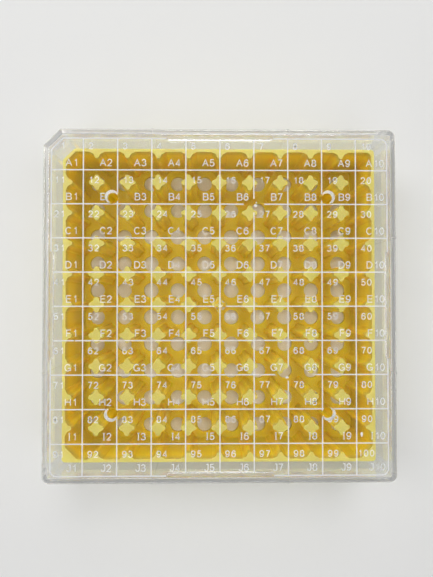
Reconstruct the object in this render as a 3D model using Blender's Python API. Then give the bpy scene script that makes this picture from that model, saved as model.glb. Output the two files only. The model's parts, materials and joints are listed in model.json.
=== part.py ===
"""A ten by ten cell box: a moulded base with standing posts, and a clear lift-off lid.

Metres, +Z up, with the origin under the middle of the box. Columns 1 to 10 run
along +X and rows A to J along -Y, so the keyed corner A1 is at -X, +Y. Each
moulding is cut into simple pieces along its walls, floor and rows of posts.
"""

import math

import bmesh
import bpy

NAME = "cell_box"

# The grid of cells
CELLS = 10
PITCH = 0.0126  # from one cell to the next
CELL_RADIUS = 0.00657  # the round seat that four posts leave for a tube
POST_REACH = 0.00315  # from a post's middle to the tip of a lobe
LOBE_RADIUS = 0.00095
HALF_POST_IN = 0.0005  # a wall's half posts are middled this far into the wall
DRAIN_RADIUS = 0.00345
CORE_RADIUS = 0.0011  # each post is hollow from below
CORE_TOP = 0.032

# Heights
FLOOR_TOP = 0.0022
SKIRT_BOTTOM = 0.0015
LEDGE_TOP = 0.018  # the lid's skirt comes down to this ledge
RIM_TOP = 0.034  # also the tops of the posts
PLATE_BOTTOM = 0.050
PLATE_TOP = 0.052
RIDGE_TOP = 0.0529

# Half widths, from the middle of the box
OUTER = 0.0672
PLATE_OUTER = 0.0670
LID_INNER = 0.0657
RIM_OUTER = 0.0642
RIM_INNER = 0.0630
FLOOR_OUTER = 0.0621

# Corners
OUTER_CORNER = 0.003
RIM_CORNER = 0.0015
KEY_LEG = 0.0064  # the 45 degree cut across corner A1, along each side
BASE_WALL_END = 0.058  # where the base's straight walls meet its corners
LID_WALL_END = 0.0604
GUSSET_LEG = 0.005
SMALL_GUSSET_LEG = 0.0015

# Smaller features
GAP = 0.0003
WALL = 0.0012
BAR_HALF = 0.0016  # half the width of the bar that a row of posts stands on
BAR_RISE = 0.0006  # how far that bar stands above the floor
RIDGE_LENGTH = 0.040
RIDGE_WIDTH = 0.0017
RIDGE_PLACE = 0.0633
VENT_PLACE = 0.0410
VENT_TOP_RADIUS = 0.00265
VENT_BOTTOM_RADIUS = 0.00195

DRAIN_SIDES = 8
CORE_SIDES = 6
VENT_SIDES = 16
CORNER_STEPS = 3

YELLOW = (0.70, 0.57, 0.13, 1.0)
CLEAR = (0.86, 0.87, 0.86, 1.0)

SIDES = {"a": 0.0, "1": 0.5 * math.pi, "j": math.pi, "10": 1.5 * math.pi}
CORNERS = {"a1": 0.5 * math.pi, "j1": math.pi, "j10": 1.5 * math.pi, "a10": 0.0}


def clear_scene():
    for obj in list(bpy.data.objects):
        bpy.data.objects.remove(obj, do_unlink=True)


def new_collection(name):
    collection = bpy.data.collections.new(name)
    bpy.context.scene.collection.children.link(collection)
    return collection


def new_material(name, colour, roughness, transmission):
    material = bpy.data.materials.new(name)
    material.use_nodes = True
    shader = material.node_tree.nodes["Principled BSDF"]
    shader.inputs["Base Color"].default_value = colour
    shader.inputs["Roughness"].default_value = roughness
    shader.inputs["Metallic"].default_value = 0.0
    shader.inputs["Transmission Weight"].default_value = transmission
    shader.inputs["IOR"].default_value = 1.58
    return material


def arc(centre, radius, start, end, steps):
    """Points on an arc, both ends included; angles in radians."""
    points = []
    for i in range(steps + 1):
        angle = start + (end - start) * i / steps
        points.append((centre[0] + radius * math.cos(angle), centre[1] + radius * math.sin(angle)))
    return points


def moved(points, dx, dy):
    return [(x + dx, y + dy) for x, y in points]


def lobe():
    """A post's lobe towards +X about the post's middle: the middle of its flank, then its tip."""
    half = 0.5 * PITCH
    tip_centre = POST_REACH - LOBE_RADIUS
    flank = math.atan2(half, half - tip_centre)
    waist = half - CELL_RADIUS * math.sqrt(0.5)
    side = tip_centre + LOBE_RADIUS * math.cos(flank)
    up = LOBE_RADIUS * math.sin(flank)
    return [(waist, -waist), (side, -up), (POST_REACH, 0.0), (side, up)]


def star():
    """A post's outline: four lobes, with the tubes' round seats between them."""
    points = []
    for turn in range(4):
        c = round(math.cos(0.5 * math.pi * turn))
        s = round(math.sin(0.5 * math.pi * turn))
        points += [(c * x - s * y, s * x + c * y) for x, y in lobe()]
    return points


def half_post():
    """The outline of a half post, which reaches towards -Y from a wall's inner face at y = 0."""
    foot = POST_REACH
    root = 0.5 * WALL
    tip = [(y, HALF_POST_IN - x) for x, y in lobe()]
    low, waist = tip[0]
    return [(foot, root), (foot, 0.0), (-low, waist)] + tip[:0:-1] + [(low, waist), (-foot, 0.0), (-foot, root)]


def corner_outline(outer, radius, key, start, inner):
    """A corner piece at +X, +Y, from start to outer along each side. inner lists its inner side."""
    if key:
        outside = [(outer, outer - key), (outer - key, outer)]
    else:
        middle = outer - radius
        outside = arc((middle, middle), radius, 0.0, 0.5 * math.pi, CORNER_STEPS)
    return [(outer, start)] + outside + [(start, outer)] + inner


def key_leg(half):
    """The leg of the A1 cut on a square of this half width, inside the outer one and parallel to it."""
    return KEY_LEG - (OUTER - half) * (2.0 - math.sqrt(2.0))


def prism(name, outlines, bottom, top):
    """Closed solids of these outlines, from bottom to top, as one mesh."""
    curve = bpy.data.curves.new(name, "CURVE")
    curve.dimensions = "2D"
    curve.fill_mode = "BOTH"
    curve.extrude = 0.5 * (top - bottom)
    for outline in outlines:
        spline = curve.splines.new("POLY")
        spline.points.add(len(outline) - 1)
        for point, (x, y) in zip(spline.points, outline):
            point.co = (x, y, 0.0, 1.0)
        spline.use_cyclic_u = True
    flat = bpy.data.objects.new(name, curve)
    bpy.context.scene.collection.objects.link(flat)
    bpy.context.view_layer.update()
    mesh = bpy.data.meshes.new_from_object(flat.evaluated_get(bpy.context.evaluated_depsgraph_get()))
    bpy.data.objects.remove(flat, do_unlink=True)
    bpy.data.curves.remove(curve)
    bm = bmesh.new()
    bm.from_mesh(mesh)
    bmesh.ops.remove_doubles(bm, verts=bm.verts, dist=0.00001)
    bmesh.ops.translate(bm, verts=bm.verts, vec=(0.0, 0.0, 0.5 * (top + bottom)))
    bmesh.ops.recalc_face_normals(bm, faces=bm.faces)
    bm.to_mesh(mesh)
    bm.free()
    mesh.name = name
    return mesh


def box(name, low, high):
    mesh = bpy.data.meshes.new(name)
    bm = bmesh.new()
    bmesh.ops.create_cube(bm, size=1.0)
    size = [b - a for a, b in zip(low, high)]
    middle = [0.5 * (a + b) for a, b in zip(low, high)]
    bmesh.ops.scale(bm, verts=bm.verts, vec=size)
    bmesh.ops.translate(bm, verts=bm.verts, vec=middle)
    bm.to_mesh(mesh)
    bm.free()
    return mesh


def cones(name, places, bottom_radius, top_radius, bottom, top, sides):
    """Upright cones or cylinders at these places, as one mesh."""
    mesh = bpy.data.meshes.new(name)
    bm = bmesh.new()
    for x, y in places:
        made = bmesh.ops.create_cone(
            bm, cap_ends=True, segments=sides, radius1=bottom_radius, radius2=top_radius, depth=top - bottom
        )
        bmesh.ops.translate(bm, verts=made["verts"], vec=(x, y, 0.5 * (top + bottom)))
    bm.to_mesh(mesh)
    bm.free()
    return mesh


def combined(first, second, operation, cutters):
    """The two meshes joined, or the second one cut from the first, as a new mesh."""
    base = bpy.data.objects.new(first.name, first)
    tool = bpy.data.objects.new(second.name + "_cutter", second)
    bpy.context.scene.collection.objects.link(base)
    cutters.objects.link(tool)
    tool.hide_render = True
    tool.display_type = "WIRE"
    boolean = base.modifiers.new("combine", "BOOLEAN")
    boolean.operation = operation
    boolean.solver = "EXACT"
    boolean.object = tool
    bpy.context.view_layer.update()
    mesh = bpy.data.meshes.new_from_object(base.evaluated_get(bpy.context.evaluated_depsgraph_get()))
    bpy.data.objects.remove(base, do_unlink=True)
    mesh.name = first.name
    return mesh


def smooth(mesh):
    mesh.shade_smooth()
    mesh.set_sharp_from_angle(angle=math.radians(30.0))


def place(name, mesh, material, collection, body, location=(0.0, 0.0, 0.0), turn=0.0):
    """A named sub-part from a mesh that other sub-parts may share."""
    if not mesh.materials:
        mesh.materials.append(material)
        smooth(mesh)
    part = bpy.data.objects.new(name, mesh)
    part.location = location
    part.rotation_euler = (0.0, 0.0, turn)
    part.parent = body
    collection.objects.link(part)
    return part


def cell_place(index):
    """How far the middle of a row or column of cells is from the middle of the box."""
    return (index - 0.5 * (CELLS - 1)) * PITCH


def floor_rows(material, collection, cutters, body):
    half = 0.5 * PITCH - BAR_HALF - GAP
    holes = [(cell_place(i), 0.0) for i in range(CELLS)]
    for index in range(CELLS):
        y = -cell_place(index)
        top = FLOOR_OUTER - y if index == 0 else half
        low = -FLOOR_OUTER - y if index == CELLS - 1 else -half
        name = "floor_row_" + "abcdefghij"[index]
        strip = box(name, (-FLOOR_OUTER, low, 0.0), (FLOOR_OUTER, top, FLOOR_TOP))
        drill = cones(name, holes, DRAIN_RADIUS, DRAIN_RADIUS, -FLOOR_TOP, 2.0 * FLOOR_TOP, DRAIN_SIDES)
        cut = combined(strip, drill, "DIFFERENCE", cutters)
        place(name, cut, material, collection, body, location=(0.0, y, 0.0))


def post_rows(material, collection, cutters, body):
    middles = [cell_place(i + 0.5) for i in range(CELLS - 1)]
    end = middles[-1] + BAR_HALF
    strip = box("post_row", (-FLOOR_OUTER, -BAR_HALF, 0.0), (FLOOR_OUTER, BAR_HALF, FLOOR_TOP))
    low = (-end, -BAR_HALF, 0.5 * FLOOR_TOP)
    bar = box("bar", low, (end, BAR_HALF, FLOOR_TOP + BAR_RISE))
    posts = prism("posts", [moved(star(), x, 0.0) for x in middles], FLOOR_TOP + GAP, RIM_TOP)
    solid = combined(combined(strip, bar, "UNION", cutters), posts, "UNION", cutters)
    under = [(x, 0.0) for x in middles]
    cores = cones("cores", under, CORE_RADIUS, CORE_RADIUS, -FLOOR_TOP, CORE_TOP, CORE_SIDES)
    row = combined(solid, cores, "DIFFERENCE", cutters)
    for index in range(CELLS - 1):
        y = -cell_place(index + 0.5)
        place(f"post_row_{index + 1}", row, material, collection, body, location=(0.0, y, 0.0))


def skirt_section():
    """The base wall's section across a wall: distance from the middle of the box, and height."""
    toe = FLOOR_OUTER + GAP
    return [
        (toe, SKIRT_BOTTOM),
        (RIM_OUTER, SKIRT_BOTTOM),
        (RIM_OUTER, LEDGE_TOP - WALL),
        (OUTER - WALL, LEDGE_TOP - WALL),
        (OUTER - WALL, SKIRT_BOTTOM),
        (OUTER, SKIRT_BOTTOM),
        (OUTER, LEDGE_TOP),
        (RIM_OUTER, LEDGE_TOP),
        (RIM_OUTER, RIM_TOP),
        (RIM_INNER, RIM_TOP),
        (RIM_INNER, FLOOR_TOP),
        (toe, FLOOR_TOP),
    ]


def base_walls(material, collection, cutters, body):
    end = BASE_WALL_END - 0.5 * GAP
    wall = prism("base_wall", [skirt_section()], -end, end)
    bm = bmesh.new()
    bm.from_mesh(wall)
    for vertex in bm.verts:
        out, up, along = vertex.co
        vertex.co = (along, out, up)
    bmesh.ops.recalc_face_normals(bm, faces=bm.faces)
    bm.to_mesh(wall)
    bm.free()
    middles = [cell_place(i + 0.5) for i in range(CELLS - 1)]
    outlines = [moved(half_post(), x, RIM_INNER) for x in middles]
    halves = prism("half_posts", outlines, FLOOR_TOP + GAP, RIM_TOP)
    joined = combined(wall, halves, "UNION", cutters)
    for side, turn in SIDES.items():
        place("base_wall_" + side, joined, material, collection, body, turn=turn)


def base_corners(material, collection, cutters, body):
    start = BASE_WALL_END + 0.5 * GAP
    toe = FLOOR_OUTER + GAP
    for corner, turn in CORNERS.items():
        keyed = corner == "a1"
        leg = {"a1": key_leg(RIM_INNER), "a10": SMALL_GUSSET_LEG}.get(corner, GUSSET_LEG)
        reach = max(RIM_INNER - leg, start)
        across = [(start, RIM_INNER), (reach, RIM_INNER), (RIM_INNER, reach), (RIM_INNER, start)]
        if reach == start:
            across = [(start, RIM_INNER), (RIM_INNER, start)]
        rim_key = key_leg(RIM_OUTER) if keyed else 0.0
        rim = corner_outline(RIM_OUTER, RIM_CORNER, rim_key, start, across)
        skirt_key = KEY_LEG if keyed else 0.0
        inner = [(start, toe), (toe, toe), (toe, start)]
        outside = corner_outline(OUTER, OUTER_CORNER, skirt_key, start, inner)
        name = "base_corner_" + corner
        upper = prism(name, [rim], FLOOR_TOP + GAP, RIM_TOP)
        lower = prism(name, [outside], SKIRT_BOTTOM, LEDGE_TOP)
        place(name, combined(upper, lower, "UNION", cutters), material, collection, body, turn=turn)


def lid_plate(material, collection, cutters, body):
    straight = PLATE_OUTER - OUTER_CORNER
    key = key_leg(PLATE_OUTER)
    outline = arc((straight, straight), OUTER_CORNER, 0.0, 0.5 * math.pi, CORNER_STEPS)
    outline += [(-PLATE_OUTER + key, PLATE_OUTER), (-PLATE_OUTER, PLATE_OUTER - key)]
    outline += arc((-straight, -straight), OUTER_CORNER, math.pi, 1.5 * math.pi, CORNER_STEPS)
    outline += arc((straight, -straight), OUTER_CORNER, -0.5 * math.pi, 0.0, CORNER_STEPS)
    plate = prism("lid_plate", [outline], PLATE_BOTTOM, PLATE_TOP)
    vents = [(x * VENT_PLACE, y * VENT_PLACE) for x in (-1, 1) for y in (-1, 1)]
    taper = (VENT_TOP_RADIUS - VENT_BOTTOM_RADIUS) / (PLATE_TOP - PLATE_BOTTOM)
    over = 0.001
    drill = cones(
        "vents",
        vents,
        VENT_BOTTOM_RADIUS - taper * over,
        VENT_TOP_RADIUS + taper * over,
        PLATE_BOTTOM - over,
        PLATE_TOP + over,
        VENT_SIDES,
    )
    place("lid_plate", combined(plate, drill, "DIFFERENCE", cutters), material, collection, body)


def lid_walls(material, collection, body):
    end = LID_WALL_END - 0.5 * GAP
    low = (-end, LID_INNER, LEDGE_TOP + GAP)
    wall = box("lid_wall", low, (end, OUTER, PLATE_BOTTOM - GAP))
    for side, turn in SIDES.items():
        place("lid_wall_" + side, wall, material, collection, body, turn=turn)


def lid_corners(material, collection, body):
    start = LID_WALL_END + 0.5 * GAP
    for corner, turn in CORNERS.items():
        key = KEY_LEG if corner == "a1" else 0.0
        inner = [(start, LID_INNER), (LID_INNER, LID_INNER), (LID_INNER, start)]
        if key:
            far = 2.0 * LID_INNER - key_leg(LID_INNER) - start
            inner = [(start, far), (far, start)]
        outline = corner_outline(OUTER, OUTER_CORNER, key, start, inner)
        name = "lid_corner_" + corner
        mesh = prism(name, [outline], LEDGE_TOP + GAP, PLATE_BOTTOM - GAP)
        place(name, mesh, material, collection, body, turn=turn)


def stacking_ridges(material, collection, body):
    radius = 0.5 * RIDGE_WIDTH
    reach = 0.5 * RIDGE_LENGTH - radius
    outline = arc((reach, RIDGE_PLACE), radius, -0.5 * math.pi, 0.5 * math.pi, 4)
    outline += arc((-reach, RIDGE_PLACE), radius, 0.5 * math.pi, 1.5 * math.pi, 4)
    ridge = prism("stacking_ridge", [outline], PLATE_TOP + GAP, RIDGE_TOP)
    for side, turn in SIDES.items():
        place("stacking_ridge_" + side, ridge, material, collection, body, turn=turn)


def main():
    clear_scene()
    parts = new_collection(NAME)
    cutters = new_collection("cutters")
    base = bpy.data.objects.new("base", None)
    lid = bpy.data.objects.new("lid", None)
    parts.objects.link(base)
    parts.objects.link(lid)
    yellow = new_material("yellow_plastic", YELLOW, 0.35, 0.0)
    clear = new_material("clear_plastic", CLEAR, 0.1, 0.85)
    floor_rows(yellow, parts, cutters, base)
    post_rows(yellow, parts, cutters, base)
    base_walls(yellow, parts, cutters, base)
    base_corners(yellow, parts, cutters, base)
    lid_plate(clear, parts, cutters, lid)
    lid_walls(clear, parts, lid)
    lid_corners(clear, parts, lid)
    stacking_ridges(clear, parts, lid)


main()
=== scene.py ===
"""The looks of a ten by ten cell box: a yellow moulded base under a clear printed lid.

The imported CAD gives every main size. Lengths are in metres, +Z is up, columns 1 to 10
run along +X and rows A to J along -Y.
"""

import json
import math

import bmesh
import bpy
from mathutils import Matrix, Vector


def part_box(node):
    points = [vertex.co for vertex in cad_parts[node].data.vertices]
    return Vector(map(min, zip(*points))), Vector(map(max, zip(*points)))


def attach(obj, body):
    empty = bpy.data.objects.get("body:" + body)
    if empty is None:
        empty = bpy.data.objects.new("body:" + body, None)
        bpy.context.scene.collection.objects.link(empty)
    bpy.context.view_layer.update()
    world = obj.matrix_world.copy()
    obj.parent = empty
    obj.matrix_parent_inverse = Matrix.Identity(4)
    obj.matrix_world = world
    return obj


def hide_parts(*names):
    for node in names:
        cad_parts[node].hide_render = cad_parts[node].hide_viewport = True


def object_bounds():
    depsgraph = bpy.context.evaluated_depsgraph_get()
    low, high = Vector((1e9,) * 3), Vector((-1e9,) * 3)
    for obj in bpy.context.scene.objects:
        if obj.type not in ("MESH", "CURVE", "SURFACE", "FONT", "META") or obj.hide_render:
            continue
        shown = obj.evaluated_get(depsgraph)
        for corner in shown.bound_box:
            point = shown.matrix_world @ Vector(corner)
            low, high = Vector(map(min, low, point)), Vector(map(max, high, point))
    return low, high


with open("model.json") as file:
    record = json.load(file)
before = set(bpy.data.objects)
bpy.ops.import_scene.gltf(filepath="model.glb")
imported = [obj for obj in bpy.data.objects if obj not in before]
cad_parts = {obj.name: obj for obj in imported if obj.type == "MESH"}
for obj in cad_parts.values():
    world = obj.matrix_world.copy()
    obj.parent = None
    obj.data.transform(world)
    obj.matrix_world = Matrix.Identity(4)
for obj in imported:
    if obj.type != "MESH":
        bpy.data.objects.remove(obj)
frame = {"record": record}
cad_low, cad_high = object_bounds()

MM = 0.001
WELD = 0.002 * MM  # points closer than this become one

# Sizes read from the CAD
CELLS = 10
row_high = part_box("post_row_5")[1]
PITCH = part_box("post_row_4")[1].y - row_high.y
HALF = 0.5 * PITCH
POST_REACH = row_high.y
RIM_TOP = row_high.z
FLOOR_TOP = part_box("floor_row_e")[1].z
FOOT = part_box("floor_row_e")[1].x
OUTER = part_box("base_wall_a")[1].y
SKIRT_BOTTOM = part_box("base_wall_a")[0].z
LID_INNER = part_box("lid_wall_a")[0].y
LID_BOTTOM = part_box("lid_wall_a")[0].z
PLATE_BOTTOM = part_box("lid_plate")[0].z
PLATE_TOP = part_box("lid_plate")[1].z
RIDGE_LOW, RIDGE_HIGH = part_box("stacking_ridge_a")
RIM_INNER = 0.5 * CELLS * PITCH

# The base's finer sizes
WALL = 1.2 * MM
RIM_OUTER = RIM_INNER + WALL
LEDGE_TOP = LID_BOTTOM - 0.3 * MM
LOBE = 1.0 * MM  # the radius of a post's lobes
LOBE_OUT = POST_REACH - LOBE
WAIST = 2.08 * MM  # from a post's middle to its flanks, between the lobes
# From a post's middle to the middle of the circle that hollows out a flank, which meets the lobes
HOLLOW = 0.5 * (LOBE_OUT**2 - (WAIST - LOBE) ** 2) / (math.sqrt(0.5) * LOBE_OUT - WAIST + LOBE)
HALF_POST_IN = 0.5 * MM  # a wall's half posts are middled this far into the wall
DRAIN = 3.45 * MM  # radius of the hole in each cell's floor
CORE = 1.1 * MM  # each post is hollow from below
CORE_TOP = RIM_TOP - 2.0 * MM
FILLET = 0.8 * MM
EDGE = 0.08 * MM  # the small rounding of sharp edges
DRAFT = 0.004  # how much thicker a post or wall gets, each side, for each unit down
GUSSET_LEG = 5.0 * MM
ROUND_LEG = 2.2 * MM
KEY_LEG = 6.4 * MM
OUTER_CORNER = 3.0 * MM
RIM_CORNER = 1.5 * MM

# The lid's finer sizes
LID_OUTER = OUTER - 0.12 * MM  # the ribs down the walls stand out to the full width
LID_EDGE = 0.7 * MM
VENT_PLACES = [(x * MM, y * MM) for x in (-41.0, 41.0) for y in (-41.0, 41.0)]
VENT_TOP = 2.65 * MM
VENT_BOTTOM = 1.95 * MM
RIB_PLACE = 25.8 * MM
RIB_WIDTH = 0.9 * MM
GATE_RADIUS = 0.5 * MM
DIMPLE_RADIUS = 2.2 * MM
DIMPLE_DEPTH = 0.25 * MM

# How much shorter a 45 degree cut's leg gets for each unit off its square's half width
CUT_SLOPE = 2.0 - math.sqrt(2.0)

# How finely curves are stepped
LOBE_STEPS = 3
SEAT_STEPS = 7
OPEN_STEPS = 3
WALL_STEPS = 3
CORNER_STEPS = 6
LID_CORNER_STEPS = 10

# The print on the lid
PRINT_PITCH = 12.9 * MM  # a little wider than the cells'
PRINT_PLACE = (-0.12 * MM, -0.38 * MM)  # the print sits a little off the lid's middle
PRINT_HALF = 63.6 * MM
PRINT_LINE = 0.44 * MM
PRINT_LIFT = 0.02 * MM
PRINT_THICK = 0.03 * MM
PRINT_CORNER = 2.4 * MM
PRINT_KEY = 4.4 * MM
RIDGE_BREAK = 20.3 * MM  # the frame stops beside each ridge
LETTER_HEIGHT = 2.8 * MM
DIGIT_HEIGHT = 2.6 * MM
STROKE = 0.34 * MM
MITRE_LIMIT = 0.6  # a sharp bend's point reaches out no further than this allows
LETTER_GAP = 0.14  # between two glyphs, for a height of 1
DIGIT_GAP = 0.22
VENT_MARGIN = 0.1 * MM  # the print stops this far from a vent
NUMBER_IN = 1.97 * MM  # from a grid line's middle to a number's left end
NUMBER_DOWN = 2.5 * MM  # and to its top
NAME_IN = 2.05 * MM  # from a grid line's middle to a name's right end
NAME_UP = 1.36 * MM  # and to its baseline
LAST_NAME_UP = 1.65 * MM  # the same in row J, from the frame's line

# The camera; its lens and sensor width are in millimetres, as Blender has them
SENSOR_WIDTH = 36.0
LENS = 32.44
CAMERA_OFF = (-4.4 * MM, 2.8 * MM)
CAMERA_ABOVE_LID = 196.4 * MM
CAMERA_TILT = (1.03, -0.87, -0.01)  # about X, Y and Z, in degrees
LAMP_SIZE = 0.45

# Where the print has worn off, and stray dabs of its ink, in mm: middle x, y, width, height
WORN = (
    (12.8, 38.4, 8.0, 1.6),
    (12.8, 37.6, 1.6, 5.4),
    (28.1, -26.2, 14.4, 1.6),
    (25.7, -26.1, 1.6, 5.2),
    (-54.8, -13.2, 0.5, 1.2),
    (25.7, 46.3, 1.2, 2.7),
    (0.0, -0.4, 4.6, 1.4),
    (0.0, -0.3, 1.3, 1.3),
)
DABS = (
    (13.4, 37.8, 1.3, 1.1),
    (13.7, 38.9, 0.5, 0.6),
    (25.2, -27.2, 1.35, 0.85),
    (53.4, -48.7, 0.9, 1.9),
    (12.5, -39.3, 0.4, 0.4),
)


# ---------------------------------------------------------------- outlines


def arc(centre, radius, start, end, steps):
    """Points on an arc, both ends included; angles in radians."""
    points = []
    for i in range(steps + 1):
        angle = start + (end - start) * i / steps
        points.append((centre[0] + radius * math.cos(angle), centre[1] + radius * math.sin(angle)))
    return points


def line(start, end, steps):
    """Points on a straight line, both ends included."""
    points = []
    for i in range(steps + 1):
        t = i / steps
        points.append((start[0] + (end[0] - start[0]) * t, start[1] + (end[1] - start[1]) * t))
    return points


def turned(points, quarters):
    """The points turned about the origin by quarter turns, anticlockwise."""
    c, s = ((1, 0), (0, 1), (-1, 0), (0, -1))[quarters % 4]
    return [(c * x - s * y, s * x + c * y) for x, y in points]


def key_leg(half):
    """The leg of corner A1's cut on a square of this half width, parallel to the outermost one."""
    return KEY_LEG - (OUTER - half) * CUT_SLOPE


def corner_radius(half):
    """The outside radius shrinks from the skirt to the rim, and on inwards."""
    slope = (OUTER_CORNER - RIM_CORNER) / (OUTER - RIM_OUTER)
    return max(0.4 * MM, OUTER_CORNER - (OUTER - half) * slope)


def square(half, radius, key, stops, steps):
    """A square's outline, anticlockwise from its +X side, with a 45 degree cut at -X, +Y.

    stops are the places of extra points along each side.
    """
    points = []
    for quarter in range(4):
        side = [(half, stop) for stop in stops]
        if quarter == 1:
            corner = line((half, half - key), (half - key, half), steps)
        else:
            corner = arc((half - radius, half - radius), radius, 0.0, 0.5 * math.pi, steps)
        points += turned(side + corner, quarter)
    return points


# ---------------------------------------------------------------- meshes


class Shell:
    """Points and faces gathered for one mesh; points that coincide are merged at the end."""

    def __init__(self):
        self.points = []
        self.faces = []

    def ring(self, outline, z):
        start = len(self.points)
        self.points += [(x, y, z) for x, y in outline]
        return list(range(start, start + len(outline)))

    def band(self, first, second, keep=None):
        """Quads between two closed rings; with keep, only where it is true for an edge's number."""
        count = len(first)
        for i in range(count):
            if keep is None or keep[i]:
                j = (i + 1) % count
                self.faces.append((first[i], first[j], second[j], second[i]))

    def copy_of(self, other, dx, dy):
        start = len(self.points)
        self.points += [(x + dx, y + dy, z) for x, y, z in other.points]
        self.faces += [tuple(start + i for i in face) for face in other.faces]

    def mesh(self, name):
        mesh = bpy.data.meshes.new(name)
        mesh.from_pydata(self.points, [], self.faces)
        bm = bmesh.new()
        bm.from_mesh(mesh)
        bmesh.ops.delete(bm, geom=[v for v in bm.verts if not v.link_faces], context="VERTS")
        bmesh.ops.remove_doubles(bm, verts=bm.verts, dist=WELD)
        bm.to_mesh(mesh)
        bm.free()
        return mesh


def new_object(name, mesh):
    obj = bpy.data.objects.new(name, mesh)
    bpy.context.scene.collection.objects.link(obj)
    return obj


def smooth(mesh, degrees):
    mesh.shade_smooth()
    mesh.set_sharp_from_angle(angle=math.radians(degrees))


def weighted(obj):
    """Flat faces keep flat shading beside the small rounded edges."""
    modifier = obj.modifiers.new("weighted_normals", "WEIGHTED_NORMAL")
    modifier.keep_sharp = True


def prism(name, outlines, low, high):
    """Closed solids between two heights, with one outline inside another as a hole."""
    curve = bpy.data.curves.new(name, "CURVE")
    curve.dimensions = "2D"
    curve.fill_mode = "BOTH"
    curve.extrude = 0.5 * (high - low)
    for outline in outlines:
        spline = curve.splines.new("POLY")
        spline.points.add(len(outline) - 1)
        for point, (x, y) in zip(spline.points, outline):
            point.co = (x, y, 0.0, 1.0)
        spline.use_cyclic_u = True
    return solid_of(name, curve, 0.5 * (low + high))


def solid_of(name, curve, z):
    """A flat curve's solid as a welded mesh, lifted to this height."""
    flat = new_object(name, curve)
    bpy.context.view_layer.update()
    mesh = bpy.data.meshes.new_from_object(flat.evaluated_get(bpy.context.evaluated_depsgraph_get()))
    bpy.data.objects.remove(flat, do_unlink=True)
    bm = bmesh.new()
    bm.from_mesh(mesh)
    bmesh.ops.remove_doubles(bm, verts=bm.verts, dist=0.5 * WELD)
    bmesh.ops.translate(bm, verts=bm.verts, vec=(0.0, 0.0, z))
    bmesh.ops.recalc_face_normals(bm, faces=bm.faces)
    bm.to_mesh(mesh)
    bm.free()
    return mesh


def joined(name, meshes):
    """One mesh that holds all of these."""
    bm = bmesh.new()
    for mesh in meshes:
        bm.from_mesh(mesh)
    result = bpy.data.meshes.new(name)
    bm.to_mesh(result)
    bm.free()
    return result


def combined(mesh, tool, operation):
    """The mesh with the tool's solids joined to it or cut from it."""
    base = new_object("combined", mesh)
    other = new_object("tool", tool)
    boolean = base.modifiers.new("combine", "BOOLEAN")
    boolean.operation = operation
    boolean.solver = "EXACT"
    boolean.object = other
    bpy.context.view_layer.update()
    result = bpy.data.meshes.new_from_object(base.evaluated_get(bpy.context.evaluated_depsgraph_get()))
    for obj in (base, other):
        bpy.data.objects.remove(obj, do_unlink=True)
    return result


def turned_solid(profile, place, sides):
    """A turned solid about an upright axis, from (radius, height) pairs, top to bottom."""
    bm = bmesh.new()
    rings = []
    for radius, z in profile:
        outline = arc(place, radius, 0.0, 2.0 * math.pi, sides)[:-1]
        rings.append([bm.verts.new((x, y, z)) for x, y in outline])
    for upper, lower in zip(rings, rings[1:]):
        for i in range(sides):
            j = (i + 1) % sides
            bm.faces.new((upper[i], lower[i], lower[j], upper[j]))
    bm.faces.new(rings[0])
    bm.faces.new(rings[-1][::-1])
    mesh = bpy.data.meshes.new("turned")
    bm.to_mesh(mesh)
    bm.free()
    return mesh


# ---------------------------------------------------------------- the base


def flank_turn():
    """The angle at which a lobe gives way to the hollow flank beside it."""
    away = HOLLOW * math.sqrt(0.5)
    return math.atan2(away - LOBE_OUT, away)


def post_quarter(grow):
    """Round a post at a tile's +X, +Y corner, from the tile's +X edge to its +Y edge."""
    lobe = LOBE + grow
    away = HOLLOW * math.sqrt(0.5)  # each flank's circle is this far from the post's middle, each way
    turn = flank_turn()
    first = arc((HALF, HALF - LOBE_OUT), lobe, -0.5 * math.pi, turn - math.pi, LOBE_STEPS)
    middle = (HALF - away, HALF - away)
    flank = arc(middle, HOLLOW - WAIST - grow, turn, 0.5 * math.pi - turn, SEAT_STEPS)
    second = arc((HALF - LOBE_OUT, HALF), lobe, -0.5 * math.pi - turn, -math.pi, LOBE_STEPS)
    return first + flank[1:-1] + second


def half_post_flank(grow, to_wall):
    """Half of a wall's half post: to_wall goes from its tip to a wall on +Y, else from one on +X.

    It is part of a post whose middle is a little way into the wall.
    """
    points = post_quarter(grow)
    lobe = LOBE + grow
    turn = -math.pi + math.asin((HALF_POST_IN + grow) / lobe)
    start = -0.5 * math.pi - flank_turn()
    foot = arc((HALF - LOBE_OUT, HALF), lobe, start, turn, LOBE_STEPS)
    points[-LOBE_STEPS - 1 :] = foot
    points = [(x, y + HALF_POST_IN) for x, y in points]
    if to_wall:
        return points
    return [(y, x) for x, y in points[::-1]]


def box_corner(style, grow):
    """The inside of the box's corner at +X, +Y: a gusset, the keyed cut, or a round."""
    face = HALF - grow
    leg = {"gusset": GUSSET_LEG, "key": key_leg(RIM_INNER), "round": ROUND_LEG}[style]
    leg -= grow * CUT_SLOPE
    if style == "round":
        return arc((face - leg, face - leg), leg, 0.0, 0.5 * math.pi, CORNER_STEPS)
    return line((face, face - leg), (face - leg, face), CORNER_STEPS)


def tile_contour(walls, style, grow):
    """A tile's edge round its cell, anticlockwise from its +X, +Y corner, and which edges stand up."""
    chains = []
    for k in range(4):
        before = k in walls
        after = (k + 1) % 4 in walls
        if before and after:
            chain = box_corner(style, grow)
        elif before or after:
            chain = half_post_flank(grow, to_wall=after)
        else:
            chain = post_quarter(grow)
        chains.append(turned(chain, k))
    points = []
    standing = []
    for k in range(4):
        wall = (k + 1) % 4 in walls
        steps = WALL_STEPS if wall else OPEN_STEPS
        between = line(chains[k][-1], chains[(k + 1) % 4][0], steps)[1:-1]
        points += chains[k] + between
        standing += [True] * (len(chains[k]) - 1) + [wall] * (len(between) + 1)
    return points, standing


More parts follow.
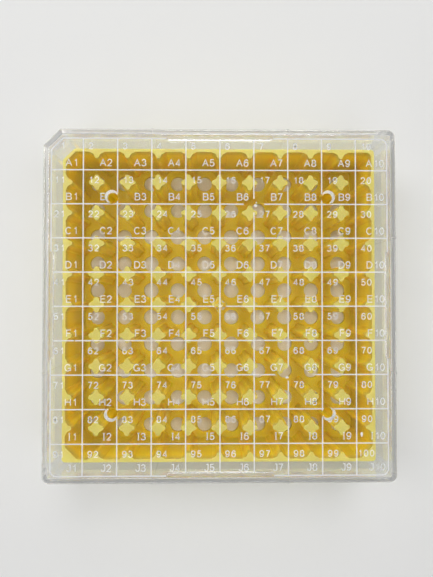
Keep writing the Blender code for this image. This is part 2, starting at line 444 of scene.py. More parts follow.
def standing_runs(standing):
    """The stretches of a contour whose edges stand up, as lists of point numbers."""
    count = len(standing)
    runs = []
    for start in range(count):
        if standing[start] and not standing[start - 1]:
            run = [start]
            while standing[run[-1]]:
                run.append((run[-1] + 1) % count)
            runs.append(run)
    return runs


def is_post(run):
    """Whether a stretch goes round a quarter of a post; any other one is the box's wall."""
    return len(run) == len(post_quarter(0.0))


def outside_points(walls, half, steps):
    """A ring of the outside within one tile: its two ends, and the box's corner between them."""
    place = 0.5 * (CELLS - 1) * PITCH
    far = half - place
    first = min(walls) if walls != {0, 3} else 3
    if len(walls) == 1:
        return turned([(far, -HALF), (far, HALF)], first)
    if first == 1:
        leg = key_leg(half)
        corner = line((far, far - leg), (far - leg, far), steps)
    else:
        radius = corner_radius(half)
        corner = arc((far - radius, far - radius), radius, 0.0, 0.5 * math.pi, steps)
    return turned([(far, -HALF)] + corner + [(-HALF, far)], first)


def level_list():
    """Heights and how much the posts and walls are thicker there than at their nominal size."""
    levels = []
    for i in range(4):
        angle = 0.5 * math.pi * i / 3
        levels.append((FLOOR_TOP + FILLET * (1.0 - math.cos(angle)), FILLET * (1.0 - math.sin(angle))))
    for i in range(3):
        angle = 0.5 * math.pi * i / 2
        levels.append((RIM_TOP - EDGE * (1.0 - math.sin(angle)), -EDGE * (1.0 - math.cos(angle))))
    return [(z, grow + DRAFT * (RIM_TOP - z)) for z, grow in levels]


def under_contour(walls, points, runs, radius):
    """The tile's edge on the underside: round the posts' hollows, and along the foot at the walls."""
    under = [None] * len(points)
    for run in runs:
        if is_post(run):
            x, y = points[run[len(run) // 2]]
            corner = (math.copysign(HALF, x), math.copysign(HALF, y))
            start = math.atan2(corner[1], corner[0]) - 0.75 * math.pi
            outline = arc(corner, radius, start, start - 0.5 * math.pi, len(run) - 1)
        else:
            ends = outside_points(walls, FOOT, CORNER_STEPS)
            if len(ends) == 2:
                outline = line(ends[0], ends[1], len(run) - 1)
            else:
                spare = (len(run) - len(ends) + 2) // 2
                outline = line(ends[0], ends[1], spare) + ends[2:-2] + line(ends[-2], ends[-1], spare)
        for number, point in zip(run, outline):
            under[number] = point
    count = len(points)
    for start in range(count):
        if under[start] is not None and under[(start + 1) % count] is None:
            end = start + 1
            while under[end % count] is None:
                end += 1
            between = line(under[start], under[end % count], end - start)
            for step in range(1, end - start):
                under[(start + step) % count] = between[step]
    return under


def tile(walls, style):
    """One cell of the base: its floor and drain, the quarters of its posts, and its walls."""
    shell = Shell()
    levels = level_list()
    rings = []
    for z, grow in levels:
        points, standing = tile_contour(walls, style, grow)
        rings.append(shell.ring(points, z))
    runs = standing_runs(standing)
    floor_points, _ = tile_contour(walls, style, levels[0][1])
    angles = [math.atan2(y, x) for x, y in floor_points]

    def drain(radius, z):
        return shell.ring([(radius * math.cos(a), radius * math.sin(a)) for a in angles], z)

    holes = [drain(DRAIN + EDGE, FLOOR_TOP), drain(DRAIN, FLOOR_TOP - EDGE), drain(DRAIN, EDGE)]
    holes.append(drain(DRAIN + EDGE, 0.0))
    shell.band(rings[0], holes[0])
    for upper, lower in zip(holes, holes[1:]):
        shell.band(upper, lower)
    for lower, upper in zip(rings, rings[1:]):
        shell.band(upper, lower, standing)
    under = shell.ring(under_contour(walls, floor_points, runs, CORE + EDGE), 0.0)
    shell.band(holes[-1], under)
    hollow = shell.ring(under_contour(walls, floor_points, runs, CORE), EDGE)
    hollow_top = shell.ring(under_contour(walls, floor_points, runs, CORE), CORE_TOP)
    for run in runs:
        top = [rings[-1][i] for i in run]
        if is_post(run):
            x, y = floor_points[run[len(run) // 2]]
            corner = [(math.copysign(HALF, x), math.copysign(HALF, y))]
            shell.faces.append(tuple(shell.ring(corner, RIM_TOP) + top[::-1]))
            shell.faces.append(tuple([hollow_top[i] for i in run] + shell.ring(corner, CORE_TOP)))
            for i, j in zip(run, run[1:]):
                shell.faces.append((under[i], under[j], hollow[j], hollow[i]))
                shell.faces.append((hollow[i], hollow[j], hollow_top[j], hollow_top[i]))
            continue
        rim = shell.ring(outside_points(walls, RIM_OUTER - EDGE, CORNER_STEPS), RIM_TOP)
        shell.faces.append(tuple(rim + top[::-1]))
        foot_top = shell.ring(outside_points(walls, FOOT, CORNER_STEPS), SKIRT_BOTTOM)
        foot = [under[i] for i in run]
        if len(foot_top) == 2:
            shell.faces.append(tuple(foot + foot_top[::-1]))
            continue
        spare = (len(run) - len(foot_top) + 2) // 2
        middle = foot[spare : len(run) - spare]
        shell.faces.append(tuple(foot[: spare + 1] + [foot_top[1], foot_top[0]]))
        for i in range(len(middle) - 1):
            shell.faces.append((middle[i], middle[i + 1], foot_top[i + 2], foot_top[i + 1]))
        shell.faces.append(tuple(foot[len(run) - spare - 1 :] + [foot_top[-1], foot_top[-2]]))
    return shell


def base_mesh():
    """The whole base moulding as one closed shell."""
    shell = Shell()
    styles = {frozenset({0, 1}): "round", frozenset({1, 2}): "key"}
    tiles = {}
    last = CELLS - 1
    for column in range(CELLS):
        for row in range(CELLS):
            sides = {0: column == last, 1: row == 0, 2: column == 0, 3: row == last}
            walls = frozenset(side for side, there in sides.items() if there)
            if walls not in tiles:
                tiles[walls] = tile(walls, styles.get(walls, "gusset"))
            shell.copy_of(tiles[walls], (column - 0.5 * last) * PITCH, (0.5 * last - row) * PITCH)
    channel_top = LEDGE_TOP - WALL
    stops = [(i - 0.5 * last + 0.5) * PITCH for i in range(last)]
    profile = [
        (RIM_OUTER - EDGE, RIM_TOP),
        (RIM_OUTER, RIM_TOP - EDGE),
        (RIM_OUTER, LEDGE_TOP),
        (OUTER - 2.0 * EDGE, LEDGE_TOP),
        (OUTER, LEDGE_TOP - 2.0 * EDGE),
        (OUTER, SKIRT_BOTTOM + EDGE),
        (OUTER - EDGE, SKIRT_BOTTOM),
        (OUTER - WALL, SKIRT_BOTTOM),
        (OUTER - WALL, channel_top),
        (RIM_OUTER, channel_top),
        (RIM_OUTER, SKIRT_BOTTOM),
        (FOOT, SKIRT_BOTTOM),
    ]
    rings = []
    for half, z in profile:
        outline = square(half, corner_radius(half), key_leg(half), stops, CORNER_STEPS)
        rings.append(shell.ring(outline, z))
    for upper, lower in zip(rings, rings[1:]):
        shell.band(lower, upper)
    return shell.mesh("base_moulding")


# ---------------------------------------------------------------- the lid


def lid_shell():
    """The lid's plate and skirt, before its vents and ridges."""
    shell = Shell()
    end = 0.3 * MM
    draft = 0.1 * MM
    inner_edge = 0.5 * MM
    inner_top = LID_INNER - draft
    outside = [(LID_OUTER - end, LID_BOTTOM), (LID_OUTER, LID_BOTTOM + end)]
    middle = LID_OUTER - draft - LID_EDGE
    for i in range(5):
        angle = 0.5 * math.pi * i / 4
        z = PLATE_TOP - LID_EDGE * (1.0 - math.sin(angle))
        outside.append((middle + LID_EDGE * math.cos(angle), z))
    inside = [(LID_INNER + 0.5 * end, LID_BOTTOM), (LID_INNER, LID_BOTTOM + 0.5 * end)]
    middle = inner_top - inner_edge
    for i in range(4):
        angle = 0.5 * math.pi * i / 3
        z = PLATE_BOTTOM - inner_edge * (1.0 - math.sin(angle))
        inside.append((middle + inner_edge * math.cos(angle), z))

    def ring(half, z, base, radius):
        corner = max(0.3 * MM, radius - (base - half))
        return shell.ring(square(half, corner, key_leg(half), [], LID_CORNER_STEPS), z)

    outer_rings = [ring(half, z, LID_OUTER, OUTER_CORNER) for half, z in outside]
    inner_rings = [ring(half, z, LID_INNER, 1.2 * MM) for half, z in inside]
    for lower, upper in zip(outer_rings, outer_rings[1:]):
        shell.band(lower, upper)
    for lower, upper in zip(inner_rings, inner_rings[1:]):
        shell.band(upper, lower)
    shell.band(inner_rings[0], outer_rings[0])
    shell.faces.append(tuple(outer_rings[-1]))
    shell.faces.append(tuple(inner_rings[-1][::-1]))
    return shell.mesh("lid_moulding")


def stacking_ridge():
    """A long low ridge with round ends and a rounded top, beside the middle of the +Y side."""
    radius = 0.5 * (RIDGE_HIGH.y - RIDGE_LOW.y)
    reach = RIDGE_HIGH.x - radius
    place = 0.5 * (RIDGE_HIGH.y + RIDGE_LOW.y)
    root = PLATE_TOP - 0.4 * MM
    soft = 0.35 * MM
    profile = [(radius, root), (radius, RIDGE_HIGH.z - soft)]
    for i in range(1, 4):
        angle = 0.5 * math.pi * i / 3
        z = RIDGE_HIGH.z - soft * (1.0 - math.sin(angle))
        profile.append((radius - soft * (1.0 - math.cos(angle)), z))
    shell = Shell()
    rings = []
    for size, z in profile:
        outline = arc((reach, place), size, -0.5 * math.pi, 0.5 * math.pi, 8)
        outline += arc((-reach, place), size, 0.5 * math.pi, 1.5 * math.pi, 8)
        rings.append(shell.ring(outline, z))
    for lower, upper in zip(rings, rings[1:]):
        shell.band(lower, upper)
    shell.faces.append(tuple(rings[0][::-1]))
    shell.faces.append(tuple(rings[-1]))
    return shell


def wall_rib(x):
    """A thin upright rib on the lid's +Y wall."""
    shell = Shell()
    half = 0.5 * RIB_WIDTH
    soft = 0.12 * MM
    root = LID_OUTER - 0.6 * MM
    section = [(x + half, root), (x + half, OUTER - soft), (x + half - soft, OUTER)]
    section += [(x - half + soft, OUTER), (x - half, OUTER - soft), (x - half, root)]
    low = shell.ring(section, LID_BOTTOM + 0.4 * MM)
    high = shell.ring(section, PLATE_TOP - LID_EDGE)
    shell.band(low, high)
    shell.faces.append(tuple(low[::-1]))
    shell.faces.append(tuple(high))
    return shell


def lid_mesh():
    """The whole lid moulding, with its ridges, ribs, vents and gate mark."""
    added = Shell()
    for shell in (stacking_ridge(), wall_rib(RIB_PLACE), wall_rib(-RIB_PLACE)):
        for quarter in range(4):
            turned_shell = Shell()
            for x, y, z in shell.points:
                (tx, ty), = turned([(x, y)], quarter)
                turned_shell.points.append((tx, ty, z))
            turned_shell.faces = shell.faces
            added.copy_of(turned_shell, 0.0, 0.0)
    over = 0.5 * MM  # the cuts go this far past the plate
    slope = (VENT_TOP - VENT_BOTTOM) / (PLATE_TOP - PLATE_BOTTOM)
    vent = [(VENT_TOP + slope * over, PLATE_TOP + over)]
    vent.append((VENT_BOTTOM - slope * over, PLATE_BOTTOM - over))
    cuts = [turned_solid(vent, place, 40) for place in VENT_PLACES]
    dimple = [(DIMPLE_RADIUS * 1.6, PLATE_TOP + over)]
    for i in range(6):
        t = i / 6
        z = PLATE_TOP - DIMPLE_DEPTH * math.sin(0.5 * math.pi * t)
        dimple.append((DIMPLE_RADIUS * (1.0 - t), z))
    dimple.append((0.05 * MM, PLATE_TOP - DIMPLE_DEPTH))
    cuts.append(turned_solid(dimple, (0.0, 0.0), 32))
    mesh = combined(lid_shell(), joined("cuts", cuts), "DIFFERENCE")
    soft = 0.15 * MM
    nub = [(GATE_RADIUS - soft, PLATE_TOP + 0.35 * MM), (GATE_RADIUS, PLATE_TOP + 0.25 * MM)]
    nub.append((GATE_RADIUS + soft, PLATE_TOP - 0.6 * MM))
    extra = joined("added", [added.mesh("added"), turned_solid(nub, (0.0, 0.0), 20)])
    return combined(mesh, extra, "UNION")


# ---------------------------------------------------------------- the print


def window(column, row):
    """One clear window of the printed grid, between its lines."""
    edge = PRINT_HALF - 0.5 * PRINT_LINE
    half_line = 0.5 * PRINT_LINE
    last = CELLS - 1
    left = -edge if column == 0 else (column - 0.5 * CELLS) * PRINT_PITCH + half_line
    right = edge if column == last else (column + 1 - 0.5 * CELLS) * PRINT_PITCH - half_line
    top = edge if row == 0 else (0.5 * CELLS - row) * PRINT_PITCH - half_line
    bottom = -edge if row == last else (0.5 * CELLS - row - 1) * PRINT_PITCH + half_line
    radius = PRINT_CORNER - half_line
    key = PRINT_KEY - CUT_SLOPE * half_line
    corners = [
        ((right, top), (1, 1), column == last and row == 0),
        ((left, top), (-1, 1), column == 0 and row == 0),
        ((left, bottom), (-1, -1), column == 0 and row == last),
        ((right, bottom), (1, -1), column == last and row == last),
    ]
    points = []
    for number, ((x, y), (sx, sy), soft) in enumerate(corners):
        if not soft:
            points.append((x, y))
        elif (sx, sy) == (-1, 1):
            points += [(x + key, y), (x, y - key)]
        else:
            start = 0.5 * math.pi * number
            points += arc((x - sx * radius, y - sy * radius), radius, start, start + 0.5 * math.pi, 6)
    return points


def ragged_oval(x, y, width, height):
    """An outline in metres from sizes in mm."""
    points = []
    sides = 14
    for i in range(sides):
        angle = 2.0 * math.pi * i / sides
        reach = 0.5 + 0.04 * math.sin(3.0 * angle + 40.0 * x) + 0.025 * math.sin(5.0 * angle)
        across = x + reach * width * math.cos(angle)
        up = y + reach * height * math.sin(angle)
        points.append((across * MM, up * MM))
    return points


def print_tools():
    """Where the print is missing: over the vents, beside the ridges, and where it has worn off."""
    low = PLATE_TOP - 1.0 * MM
    high = PLATE_TOP + 1.0 * MM
    reach = VENT_TOP + VENT_MARGIN
    solids = [turned_solid([(reach, high), (reach, low)], place, 32) for place in VENT_PLACES]
    outer = PRINT_HALF + 2.0 * MM
    inner = PRINT_HALF - 0.9 * MM
    beside_ridge = [(inner, -RIDGE_BREAK), (outer, -RIDGE_BREAK)]
    beside_ridge += [(outer, RIDGE_BREAK), (inner, RIDGE_BREAK)]
    for quarter in range(4):
        solids.append(prism("break", [turned(beside_ridge, quarter)], low, high))
    for patch in WORN:
        solids.append(prism("worn", [ragged_oval(*patch)], low, high))
    return joined("missing", solids)


def print_grid():
    """The frame and its lines, less what is missing, and the stray dabs."""
    key = PRINT_KEY + CUT_SLOPE * 0.5 * PRINT_LINE
    half = PRINT_HALF + 0.5 * PRINT_LINE
    frame_line = square(half, PRINT_CORNER + 0.5 * PRINT_LINE, key, [], 8)
    windows = [window(column, row) for column in range(CELLS) for row in range(CELLS)]
    low = PLATE_TOP + PRINT_LIFT
    outlines = []
    for points in [frame_line] + windows:
        outlines.append([(x + PRINT_PLACE[0], y + PRINT_PLACE[1]) for x, y in points])
    grid = combined(prism("grid", outlines, low, low + PRINT_THICK), print_tools(), "DIFFERENCE")
    dabs = [prism("dab", [ragged_oval(*dab)], low, low + PRINT_THICK) for dab in DABS]
    return joined("print_grid", [grid] + dabs)


def bow(x, y, wide, high, start, end, steps=8):
    """Points on part of an ellipse; angles in degrees."""
    unit = arc((0.0, 0.0), 1.0, math.radians(start), math.radians(end), steps)
    return [(x + wide * px, y + high * py) for px, py in unit]


def glyphs():
    """Each glyph's width for a height of 1, and its strokes in a unit square."""
    six = [bow(0.5, 0.31, 0.5, 0.31, 180, 540, 16), bow(0.55, 0.42, 0.55, 0.58, 180, 42)]
    nine = [[(1.0 - x, 1.0 - y) for x, y in stroke] for stroke in six]
    lower_bowl = bow(0.55, 0.26, 0.45, 0.26, 90, -90)
    return {
        "0": (0.66, [bow(0.5, 0.5, 0.5, 0.5, 90, 450, 20)]),
        "1": (0.66, [[(0.35, 0.77), (0.58, 0.82), (0.75, 1.0), (0.75, 0.0)]]),
        "2": (0.66, [bow(0.5, 0.7, 0.48, 0.3, 172, -40) + [(0.0, 0.0), (1.0, 0.0)]]),
        "3": (0.66, [bow(0.47, 0.75, 0.43, 0.25, 165, -90) + bow(0.47, 0.26, 0.53, 0.26, 90, -165)]),
        "4": (0.68, [[(0.74, 0.0), (0.74, 1.0), (0.0, 0.28), (1.0, 0.28)]]),
        "5": (0.66, [[(0.9, 1.0), (0.2, 1.0), (0.06, 0.48)] + bow(0.47, 0.32, 0.53, 0.32, 130, -160)]),
        "6": (0.66, six),
        "7": (0.64, [[(0.0, 1.0), (1.0, 1.0), (0.62, 0.5), (0.38, 0.0)]]),
        "8": (0.66, [bow(0.5, 0.76, 0.43, 0.24, -90, 270, 14), bow(0.5, 0.26, 0.5, 0.26, 90, 450, 16)]),
        "9": (0.66, nine),
        "A": (0.86, [[(0.0, 0.0), (0.5, 1.0), (1.0, 0.0)], [(0.2, 0.36), (0.8, 0.36)]]),
        "B": (0.76, [
            [(0.0, 0.52), (0.0, 1.0)] + bow(0.55, 0.76, 0.37, 0.24, 90, -90),
            [(0.0, 0.52)] + lower_bowl + [(0.0, 0.0), (0.0, 0.52)],
        ]),
        "C": (0.84, [bow(0.5, 0.5, 0.5, 0.5, 42, 318, 14)]),
        "D": (0.8, [
            [(0.0, 0.0), (0.0, 1.0), (0.4, 1.0)] + bow(0.4, 0.5, 0.6, 0.5, 80, -90) + [(0.0, 0.0)],
        ]),
        "E": (0.72, [[(1.0, 1.0), (0.0, 1.0), (0.0, 0.0), (1.0, 0.0)], [(0.0, 0.52), (0.92, 0.52)]]),
        "F": (0.68, [[(1.0, 1.0), (0.0, 1.0), (0.0, 0.0)], [(0.0, 0.5), (0.86, 0.5)]]),
        "G": (0.88, [
            bow(0.5, 0.5, 0.5, 0.5, 42, 328, 14) + [(1.0, 0.0)],
            [(0.55, 0.42), (1.0, 0.42), (1.0, 0.2)],
        ]),
        "H": (0.8, [[(0.0, 0.0), (0.0, 1.0)], [(1.0, 0.0), (1.0, 1.0)], [(0.0, 0.52), (1.0, 0.52)]]),
        "I": (0.36, [[(0.5, 0.0), (0.5, 1.0)], [(0.0, 1.0), (1.0, 1.0)], [(0.0, 0.0), (1.0, 0.0)]]),
        "J": (0.58, [[(0.5, 1.0), (1.0, 1.0)] + bow(0.5, 0.28, 0.5, 0.28, 0, -175)]),
    }


def ribbon(shell, points, low, high):
    """A flat stroke of even width; it closes on itself where its last point is its first."""
    closed = math.dist(points[0], points[-1]) < 0.01 * MM
    if closed:
        points = points[:-1]
    count = len(points)
    sides = ([], [])
    for i in range(count):
        before = points[i - 1] if closed or i > 0 else None
        after = points[(i + 1) % count] if closed or i < count - 1 else None
        ways = []
        for start, end in ((before, points[i]), (points[i], after)):
            if start and end:
                length = math.dist(start, end)
                ways.append(((end[0] - start[0]) / length, (end[1] - start[1]) / length))
        way = (sum(w[0] for w in ways), sum(w[1] for w in ways))
        length = math.hypot(*way)
        way = (way[0] / length, way[1] / length)
        bend = way[0] * ways[0][0] + way[1] * ways[0][1]
        reach = 0.5 * STROKE / max(MITRE_LIMIT, bend)
        for side, sign in zip(sides, (1.0, -1.0)):
            side.append((points[i][0] + sign * reach * way[1], points[i][1] - sign * reach * way[0]))
    right, left = sides
    low_right, high_right = shell.ring(right, low), shell.ring(right, high)
    low_left, high_left = shell.ring(left, low), shell.ring(left, high)
    for i in range(count if closed else count - 1):
        j = (i + 1) % count
        shell.faces.append((low_right[i], low_right[j], high_right[j], high_right[i]))
        shell.faces.append((high_left[i], high_left[j], low_left[j], low_left[i]))
        shell.faces.append((high_right[i], high_right[j], high_left[j], high_left[i]))
        shell.faces.append((low_left[i], low_left[j], low_right[j], low_right[i]))
    if not closed:
        shell.faces.append((low_left[0], low_right[0], high_right[0], high_left[0]))
        shell.faces.append((high_left[-1], high_right[-1], low_right[-1], low_left[-1]))


def is_missing(point):
    """Whether the print is missing here, on the lid."""
    if any(math.dist(point, place) < VENT_TOP + VENT_MARGIN for place in VENT_PLACES):
        return True
    for x, y, width, height in WORN:
        if math.hypot((point[0] / MM - x) / (0.5 * width), (point[1] / MM - y) / (0.5 * height)) < 1.0:
            return True
    return False


def kept_parts(stroke):
    """The parts of a stroke that are still there."""
    tried = []
    for start, end in zip(stroke, stroke[1:]):
        tried += line(start, end, 6)
    if not any(is_missing(point) for point in tried):
        return [stroke]
    fine = [stroke[0]]
    for start, end in zip(stroke, stroke[1:]):
        steps = max(1, math.ceil(math.dist(start, end) / (0.1 * MM)))
        fine += line(start, end, steps)[1:]
    parts = [[]]
    for point in fine:
        if is_missing(point):
            parts.append([])
        else:
            parts[-1].append(point)
    return [part for part in parts if len(part) > 2]


def label(shell, shapes, words, height, gap, x, y, right):
    """One label with its baseline's left or right end at x, y."""
    widths = [shapes[letter][0] * height for letter in words]
    if right:
        x -= sum(widths) + gap * height * (len(words) - 1)
    low = PLATE_TOP + PRINT_LIFT
    for letter, width in zip(words, widths):
        for stroke in shapes[letter][1]:
            points = []
            for px, py in stroke:
                across = x + 0.5 * STROKE + px * (width - STROKE)
                up = y + 0.5 * STROKE + py * (height - STROKE)
                points.append((across + PRINT_PLACE[0], up + PRINT_PLACE[1]))
            for part in kept_parts(points):
                ribbon(shell, part, low, low + PRINT_THICK)
        x += width + gap * height


def print_labels():
    """Numbers 1 to 100 at each cell's upper left, and A1 to J10 at its lower right."""
    shell = Shell()
    shapes = glyphs()
    slot = (shapes["0"][0] + DIGIT_GAP) * DIGIT_HEIGHT
    for row in range(CELLS):
        top = (0.5 * CELLS - row) * PRINT_PITCH - NUMBER_DOWN
        base = (0.5 * CELLS - row - 1) * PRINT_PITCH + NAME_UP
        if row == CELLS - 1:
            base = -PRINT_HALF + LAST_NAME_UP
        for column in range(CELLS):
            left = (column - 0.5 * CELLS) * PRINT_PITCH + NUMBER_IN
            right = (column + 1 - 0.5 * CELLS) * PRINT_PITCH - NAME_IN
            number = str(row * CELLS + column + 1)
            if number == "1":
                left += slot  # number 1 stands above the second digit of 11
            if len(number) == 3:
                left -= 0.7 * slot  # number 100 starts further left, to fit
            label(shell, shapes, number, DIGIT_HEIGHT, DIGIT_GAP, left, top - DIGIT_HEIGHT, False)
            name = "ABCDEFGHIJ"[row] + str(column + 1)
            label(shell, shapes, name, LETTER_HEIGHT, LETTER_GAP, right, base, True)
    mesh = bpy.data.meshes.new("print_labels")
    mesh.from_pydata(shell.points, [], shell.faces)
    return mesh


# ---------------------------------------------------------------- materials


def node(tree, kind, **sockets):
    made = tree.nodes.new(kind)
    for name, value in sockets.items():
        made.inputs[name.replace("_", " ")].default_value = value
    return made


def new_material(name):
    material = bpy.data.materials.new(name)
    material.use_nodes = True
    tree = material.node_tree
    return material, tree, tree.nodes["Principled BSDF"], tree.nodes["Material Output"]


def noise(tree, scale, detail, roughness=0.5):
    """Noise in the object's own coordinates, per metre."""
    place = tree.nodes.new("ShaderNodeTexCoord")
    made = node(tree, "ShaderNodeTexNoise", Scale=scale, Detail=detail, Roughness=roughness)
    tree.links.new(place.outputs["Object"], made.inputs["Vector"])
    return made.outputs["Fac"]


def mapped(tree, value, low, high):
    made = node(tree, "ShaderNodeMapRange")
    made.inputs["To Min"].default_value = low
    made.inputs["To Max"].default_value = high
    tree.links.new(value, made.inputs["Value"])
    return made.outputs["Result"]


def ramp(tree, value, start, end):
    """0 at the start value, 1 at the end one."""
    made = tree.nodes.new("ShaderNodeMapRange")
    made.inputs["From Min"].default_value = start
    made.inputs["From Max"].default_value = end
    tree.links.new(value, made.inputs["Value"])
    return made.outputs["Result"]


def computed(tree, operation, first, second=None):
    """What a math node makes of one value or two."""
    made = tree.nodes.new("ShaderNodeMath")
    made.operation = operation
    tree.links.new(first, made.inputs[0])
    if second is not None:
        tree.links.new(second, made.inputs[1])
    return made.outputs["Value"]


def mixed(tree, factor, first, second):
    """A mix of two colours, each a tuple or a node's output."""
    made = tree.nodes.new("ShaderNodeMix")
    made.data_type = "RGBA"
    tree.links.new(factor, made.inputs["Factor"])
    for name, colour in (("A", first), ("B", second)):
        socket = [one for one in made.inputs if one.name == name and one.type == "RGBA"][0]
        if isinstance(colour, tuple):
            socket.default_value = colour
        else:
            tree.links.new(colour, socket)
    return [one for one in made.outputs if one.type == "RGBA"][0]


def bumped(tree, shader, value, strength, distance):
    made = node(tree, "ShaderNodeBump", Strength=strength, Distance=distance)
    tree.links.new(value, made.inputs["Height"])
    tree.links.new(made.outputs["Normal"], shader.inputs["Normal"])


def painted_bounce_depth(tree):
    """Where golden bounce light and shade are painted: 0 on the outside and on the posts' tops, rising
    to 1 down in the cells.
    """
    place = tree.nodes.new("ShaderNodeTexCoord")
    split = tree.nodes.new("ShaderNodeSeparateXYZ")
    tree.links.new(place.outputs["Object"], split.inputs["Vector"])
    across = [computed(tree, "ABSOLUTE", split.outputs[axis]) for axis in "XY"]
    widest = computed(tree, "MAXIMUM", across[0], across[1])
    inside = ramp(tree, widest, RIM_INNER + 0.6 * MM, RIM_INNER + 0.3 * MM)
    deep = ramp(tree, split.outputs["Z"], RIM_TOP, RIM_TOP - 6.0 * MM)
    return computed(tree, "MULTIPLY", inside, deep)


def yellow_plastic():
    material, tree, shader, _ = new_material("yellow_plastic")
    tone = mapped(tree, noise(tree, 60.0, 3.0), 0.0, 1.0)
    lemon = mixed(tree, tone, (0.58, 0.505, 0.11, 1.0), (0.63, 0.545, 0.13, 1.0))
    # Painted bounce light and shade: lemon is the plastic's own colour, and the saturated golden one,
    # mixed in deeper down the cells, stands in for light bounced between the yellow walls.
    painted_bounce_golden = mixed(tree, tone, (0.96, 0.7, 0.018, 1.0), (0.985, 0.74, 0.025, 1.0))
    tree.links.new(mixed(tree, painted_bounce_depth(tree), lemon, painted_bounce_golden), shader.inputs["Base Color"])
    tree.links.new(mapped(tree, noise(tree, 900.0, 4.0), 0.3, 0.48), shader.inputs["Roughness"])
    shader.inputs["IOR"].default_value = 1.5
    shader.inputs["Subsurface Weight"].default_value = 0.8
    shader.inputs["Subsurface Radius"].default_value = (1.0, 0.7, 0.2)
    shader.inputs["Subsurface Scale"].default_value = 2.5 * MM
    bumped(tree, shader, noise(tree, 5200.0, 2.0), 0.08, 0.00005)
    return material


def clear_plastic(name, milk):
    """Clear with a faint haze; milk is how much of the light it scatters in every direction."""
    material, tree, shader, output = new_material(name)
    shader.inputs["Base Color"].default_value = (0.965, 0.97, 0.965, 1.0)
    shader.inputs["IOR"].default_value = 1.55
    shader.inputs["Transmission Weight"].default_value = 1.0
    haze = mapped(tree, noise(tree, 420.0, 6.0, 0.65), 0.0, 0.05)
    tree.links.new(haze, shader.inputs["Roughness"])
    light_path = tree.nodes.new("ShaderNodeLightPath")
    open_way = node(tree, "ShaderNodeBsdfTransparent")
    open_way.inputs["Color"].default_value = (0.93, 0.935, 0.93, 1.0)
    milky = node(tree, "ShaderNodeBsdfTranslucent")
    milky.inputs["Color"].default_value = (0.93, 0.93, 0.92, 1.0)
    clouded = node(tree, "ShaderNodeMixShader", Fac=milk)
    tree.links.new(shader.outputs["BSDF"], clouded.inputs[1])
    tree.links.new(milky.outputs["BSDF"], clouded.inputs[2])
    mix = tree.nodes.new("ShaderNodeMixShader")
    tree.links.new(light_path.outputs["Is Shadow Ray"], mix.inputs["Fac"])
    tree.links.new(clouded.outputs["Shader"], mix.inputs[1])
    tree.links.new(open_way.outputs["BSDF"], mix.inputs[2])
    tree.links.new(mix.outputs["Shader"], output.inputs["Surface"])
    return material


def frosted_plastic():
    """The lid's foot, which the mould leaves rough."""
    material, tree, shader, _ = new_material("frosted_plastic")
    tone = mapped(tree, noise(tree, 800.0, 3.0), 0.0, 1.0)
    colour = mixed(tree, tone, (0.8, 0.78, 0.76, 1.0), (0.88, 0.86, 0.84, 1.0))
    tree.links.new(colour, shader.inputs["Base Color"])
    tree.links.new(mapped(tree, noise(tree, 2000.0, 2.0), 0.5, 0.7), shader.inputs["Roughness"])
    return material


def white_ink():
    material, tree, shader, _ = new_material("white_ink")
    tone = mapped(tree, noise(tree, 1500.0, 3.0), 0.0, 1.0)
    colour = mixed(tree, tone, (0.78, 0.78, 0.79, 1.0), (0.88, 0.88, 0.89, 1.0))
    tree.links.new(colour, shader.inputs["Base Color"])
    tree.links.new(mapped(tree, noise(tree, 2500.0, 2.0), 0.45, 0.7), shader.inputs["Roughness"])
    bumped(tree, shader, noise(tree, 6000.0, 2.0), 0.1, 0.00002)
    return material


def pale_floor():
    material, _, shader, _ = new_material("pale_floor")
    shader.inputs["Base Color"].default_value = (0.88, 0.875, 0.86, 1.0)
    shader.inputs["Roughness"].default_value = 0.8
    return material


# ---------------------------------------------------------------- the stage


def stage():
    mesh = bpy.data.meshes.new("floor")
    bm = bmesh.new()
    bmesh.ops.create_grid(bm, x_segments=1, y_segments=1, size=3.0)
    bm.to_mesh(mesh)
    bm.free()
    mesh.materials.append(pale_floor())
    floor = new_object("floor", mesh)
    floor.location.z = cad_low.z - 0.05 * MM


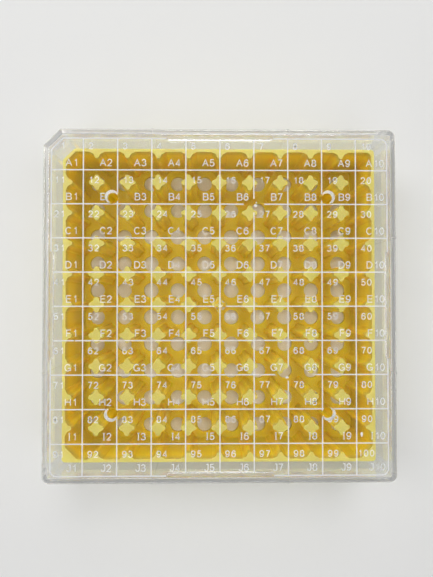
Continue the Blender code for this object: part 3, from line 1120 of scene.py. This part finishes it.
def lights():
    """A room that is bright low down all round, and four soft lamps higher up."""
    world = bpy.data.worlds.new("room")
    world.use_nodes = True
    tree = world.node_tree
    background = tree.nodes["Background"]
    background.inputs["Color"].default_value = (0.95, 0.97, 1.0, 1.0)
    way = tree.nodes.new("ShaderNodeTexCoord")
    split = tree.nodes.new("ShaderNodeSeparateXYZ")
    tree.links.new(way.outputs["Generated"], split.inputs["Vector"])
    brightness = mapped(tree, ramp(tree, split.outputs["Z"], 0.3, 0.7), 0.7, 0.08)
    tree.links.new(brightness, background.inputs["Strength"])
    bpy.context.scene.world = world
    bpy.context.scene.view_settings.view_transform = "Standard"
    for name, place, power in (
        ("window", (-0.72, 0.3, 1.0), 4.4),
        ("back", (0.1, 0.8, 1.0), 4.8),
        ("right", (0.75, -0.1, 1.1), 2.2),
        ("front", (-0.1, -0.75, 1.1), 2.2),
    ):
        data = bpy.data.lights.new(name, "AREA")
        data.size = LAMP_SIZE
        data.energy = power
        lamp = bpy.data.objects.new(name, data)
        lamp.location = place
        bpy.context.scene.collection.objects.link(lamp)
        aim = -lamp.location
        lamp.rotation_euler = aim.to_track_quat("-Z", "Y").to_euler()


def camera():
    """Looks almost straight down."""
    data = bpy.data.cameras.new("camera")
    data.sensor_width = SENSOR_WIDTH
    data.lens = LENS
    obj = bpy.data.objects.new("camera", data)
    obj.location = (CAMERA_OFF[0], CAMERA_OFF[1], PLATE_TOP + CAMERA_ABOVE_LID)
    obj.rotation_euler = [math.radians(degrees) for degrees in CAMERA_TILT]
    bpy.context.scene.collection.objects.link(obj)
    bpy.context.scene.camera = obj


# ---------------------------------------------------------------- the pieces


def base_piece(material):
    mesh = base_mesh()
    mesh.materials.append(material)
    smooth(mesh, 40.0)
    piece = new_object("base_moulding", mesh)
    weighted(piece)
    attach(piece, "base")
    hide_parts(*frame["record"]["behaviour"]["bodies"]["base"])


def lid_piece(plate_material, wall_material, foot_material):
    mesh = lid_mesh()
    mesh.materials.clear()
    materials = (plate_material, wall_material, foot_material)
    for material in materials:
        mesh.materials.append(material)
    for face in mesh.polygons:
        if face.normal.z < -0.9 and face.center.z < LID_BOTTOM + EDGE:
            face.material_index = materials.index(foot_material)
        elif abs(face.normal.z) < 0.5 and face.center.z < PLATE_TOP:
            outwards = face.normal.x * face.center.x + face.normal.y * face.center.y
            if outwards > LID_INNER:
                face.material_index = materials.index(wall_material)
    smooth(mesh, 40.0)
    piece = new_object("lid_moulding", mesh)
    weighted(piece)
    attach(piece, "lid")
    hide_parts(*frame["record"]["behaviour"]["bodies"]["lid"])


def print_pieces(material):
    for name, mesh in (("print_grid", print_grid()), ("print_labels", print_labels())):
        mesh.materials.clear()
        mesh.materials.append(material)
        piece = new_object(name, mesh)
        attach(piece, "lid")


camera()
stage()
lights()
base_piece(yellow_plastic())
lid_piece(clear_plastic("clear_plastic", 0.01), clear_plastic("clear_walls", 0.3), frosted_plastic())
print_pieces(white_ink())
